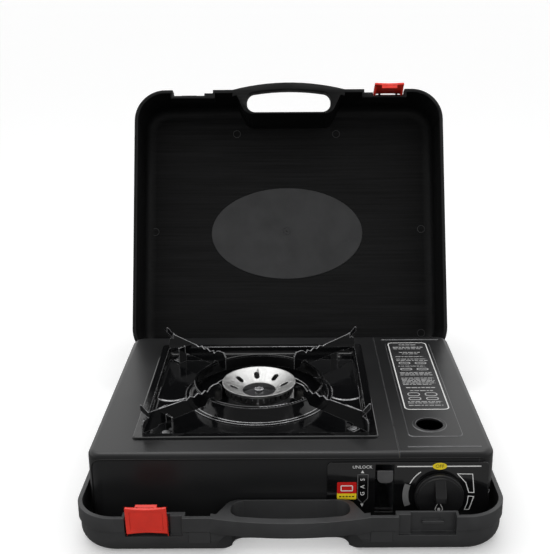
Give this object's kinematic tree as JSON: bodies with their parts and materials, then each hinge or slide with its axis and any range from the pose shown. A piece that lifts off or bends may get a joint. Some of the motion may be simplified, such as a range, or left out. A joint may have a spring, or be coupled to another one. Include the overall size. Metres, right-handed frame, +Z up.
{
  "type": "butane cassette stove in a carry case",
  "caption": "Flat portable gas stove with a burner, drip tray and pan supports beside a covered cartridge bay, in a hinged two-part carry case with a bowed grip.",
  "frame": {"origin": "centre of the flat underside of the carry case's base", "axes": "+Z up, +X to the right of someone at the knob, +Y away from them"},
  "size_m": [0.361, 0.5162, 0.3385],
  "materials": {
    "case_plastic": "satin",
    "latch_plastic": "satin",
    "pin_steel": "satin",
    "body_paint": "satin",
    "galvanised": "satin",
    "foot_rubber": "matt",
    "panel_paint": "gloss",
    "cast_alloy": "satin",
    "burner_alloy": "satin",
    "brass": "satin",
    "enamel": "gloss",
    "ceramic": "gloss",
    "igniter_plastic": "satin",
    "lead_rubber": "satin",
    "knob_plastic": "satin",
    "lever_plastic": "satin"
  },
  "bodies": {
    "case_base": {"case_base": "case_plastic", "case_hinge_pins": "pin_steel"},
    "case_lid": {"case_lid": "case_plastic"},
    "base_latch": {"base_latch": "latch_plastic", "base_latch_pin": "pin_steel"},
    "lid_latch": {"lid_latch": "latch_plastic", "lid_latch_pin": "pin_steel"},
    "control_knob": {"control_knob": "knob_plastic", "knob_shaft": "pin_steel", "igniter_cam": "igniter_plastic"},
    "lock_lever": {"lock_lever": "lever_plastic", "lever_shaft": "pin_steel"},
    "cartridge_pusher": {"cartridge_pusher": "galvanised"},
    "cartridge_cover": {"cartridge_cover": "body_paint"},
    "drip_tray": {"drip_tray": "enamel", "support_ring": "enamel", "support_rivets": "pin_steel", "pan_support_front_left": "enamel", "pan_support_back_left": "enamel", "pan_support_back_right": "enamel", "pan_support_front_right": "enamel"},
    "stove": {"stove_housing": "body_paint", "bottom_plate": "galvanised", "housing_screws": "pin_steel", "rubber_feet": "foot_rubber", "control_panel": "panel_paint", "partition_plate": "galvanised", "cartridge_cradle": "galvanised", "governor_body": "cast_alloy", "governor_cover": "cast_alloy", "governor_screws": "pin_steel", "valve_bracket": "galvanised", "cartridge_guide": "galvanised", "mixing_tube": "galvanised", "jet_nozzle": "brass", "outlet_pipe": "brass", "burner_body": "cast_alloy", "burner_ring": "cast_alloy", "burner_cap": "burner_alloy", "burner_screw": "pin_steel", "burner_bracket": "galvanised", "heat_conductor": "burner_alloy", "electrode_ceramic": "ceramic", "electrode_wire": "pin_steel", "electrode_bracket": "galvanised", "piezo_igniter": "igniter_plastic", "ignition_lead": "lead_rubber", "cover_hinge_pins": "pin_steel"}
  },
  "joints": [
    {"name": "lid_hinge", "type": "hinge", "parent": "case_base", "child": "case_lid", "pos_m": [0, 0.16225, 0.0364], "axis": [-1, 0, 0], "range_deg": [-113.3, 0]},
    {"name": "base_latch_pivot", "type": "hinge", "parent": "case_base", "child": "base_latch", "pos_m": [-0.1175, -0.15275, 0.0254], "axis": [1, 0, 0], "range_deg": [-8, 80]},
    {"name": "lid_latch_pivot", "type": "hinge", "parent": "case_lid", "child": "lid_latch", "pos_m": [0.1175, 0.29695, 0.32136], "axis": [-1, 0, 0], "range_deg": [-8, 80]},
    {"name": "stove_lift", "type": "slide", "parent": "case_base", "child": "stove", "axis": [0, 0, 1], "range_m": [0, 0.09]},
    {"name": "tray_lift", "type": "slide", "parent": "stove", "child": "drip_tray", "axis": [0, 0, 1], "range_m": [0, 0.06]},
    {"name": "cover_hinge", "type": "hinge", "parent": "stove", "child": "cartridge_cover", "pos_m": [0.168, 0.009, 0.042], "axis": [0, 1, 0], "range_deg": [0, 90]},
    {"name": "knob_turn", "type": "hinge", "parent": "stove", "child": "control_knob", "pos_m": [0.1255, -0.1245, 0.0385], "axis": [0, -1, 0], "range_deg": [0, 95]},
    {"name": "lever_swing", "type": "hinge", "parent": "stove", "child": "lock_lever", "pos_m": [0.0795, -0.102, 0.044], "axis": [1, 0, 0], "range_deg": [0, 48]},
    {"name": "pusher_slide", "type": "slide", "parent": "stove", "child": "cartridge_pusher", "axis": [0, -1, 0], "range_m": [0, 0.00813]}
  ],
  "couplings": [
    {"joint": "lever_swing", "follows": "pusher_slide", "rad_per_m": 102.99}
  ]
}
